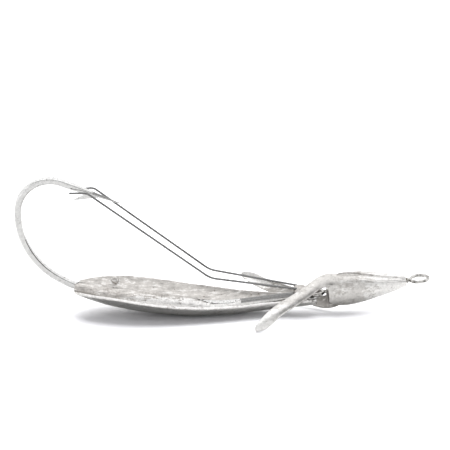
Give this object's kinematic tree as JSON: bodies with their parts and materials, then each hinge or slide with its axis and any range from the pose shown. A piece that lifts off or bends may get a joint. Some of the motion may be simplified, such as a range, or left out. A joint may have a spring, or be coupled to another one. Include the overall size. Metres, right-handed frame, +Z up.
{
  "type": "weedless fishing spoon",
  "caption": "Weedless metal fishing spoon with a dished leaf blade, a fixed barbed hook, sprung wire weed guards and a two-winged propeller head on a wire shaft with a line eye.",
  "frame": {"origin": "middle of the footprint, on the surface that the lure lies on", "axes": "+X along the lure towards the line eye, +Y towards the lure's left side, +Z up"},
  "size_m": [0.1128, 0.026, 0.0391],
  "materials": {
    "blade_nickel": "aged polished nickel plate, mottled tarnish in the bowl",
    "hook_nickel": "polished nickel plate with fine drawing marks",
    "guard_steel": "drawn spring wire",
    "shaft_nickel": "polished nickel-plated wire",
    "bead_nickel": "polished nickel plate",
    "bead_brass": "dull brass",
    "propeller_nickel": "worn nickel plate, satin with pits and scratches",
    "solder": "uneven grey tin solder"
  },
  "bodies": {
    "lure": {"spoon_blade": "blade_nickel", "hook": "hook_nickel", "bowl_solder": "solder", "neck_solder": "solder", "guard_solder": "solder", "shaft_wire": "shaft_nickel", "link_solder": "solder"},
    "propeller": {"right_propeller_half": "propeller_nickel", "left_propeller_half": "propeller_nickel", "bearing_tube": "bead_brass", "nose_solder": "solder"},
    "thrust_bead": {"thrust_bead": "bead_nickel"},
    "thrust_washer": {"thrust_washer": "bead_brass"},
    "nose_bead": {"nose_bead": "bead_nickel"},
    "left_guard": {"left_guard_wire": "guard_steel"},
    "right_guard": {"right_guard_wire": "guard_steel"}
  },
  "joints": [
    {"name": "propeller_spin", "type": "hinge", "parent": "lure", "child": "propeller", "pos_m": [0.0362, 0.00343, 0.0069], "axis": [0.988, 0.1213, 0.0958], "continuous": true},
    {"name": "thrust_bead_spin", "type": "hinge", "parent": "lure", "child": "thrust_bead", "pos_m": [0.03195, 0.0029, 0.00649], "axis": [0.988, 0.1213, 0.0958], "continuous": true},
    {"name": "thrust_washer_spin", "type": "hinge", "parent": "lure", "child": "thrust_washer", "pos_m": [0.03054, 0.00273, 0.00635], "axis": [0.988, 0.1213, 0.0958], "continuous": true},
    {"name": "nose_bead_spin", "type": "hinge", "parent": "lure", "child": "nose_bead", "pos_m": [0.05023, 0.00515, 0.00826], "axis": [0.988, 0.1213, 0.0958], "continuous": true},
    {"name": "left_guard_flex", "type": "hinge", "parent": "lure", "child": "left_guard", "pos_m": [0.02062, 0.00326, 0.00744], "axis": [0, -1, 0], "range_deg": [0, 14], "stiffness_Nm_per_rad": 0.05},
    {"name": "right_guard_flex", "type": "hinge", "parent": "lure", "child": "right_guard", "pos_m": [0.02062, 0.00117, 0.0072], "axis": [0, -1, 0], "range_deg": [0, 14], "stiffness_Nm_per_rad": 0.05}
  ]
}
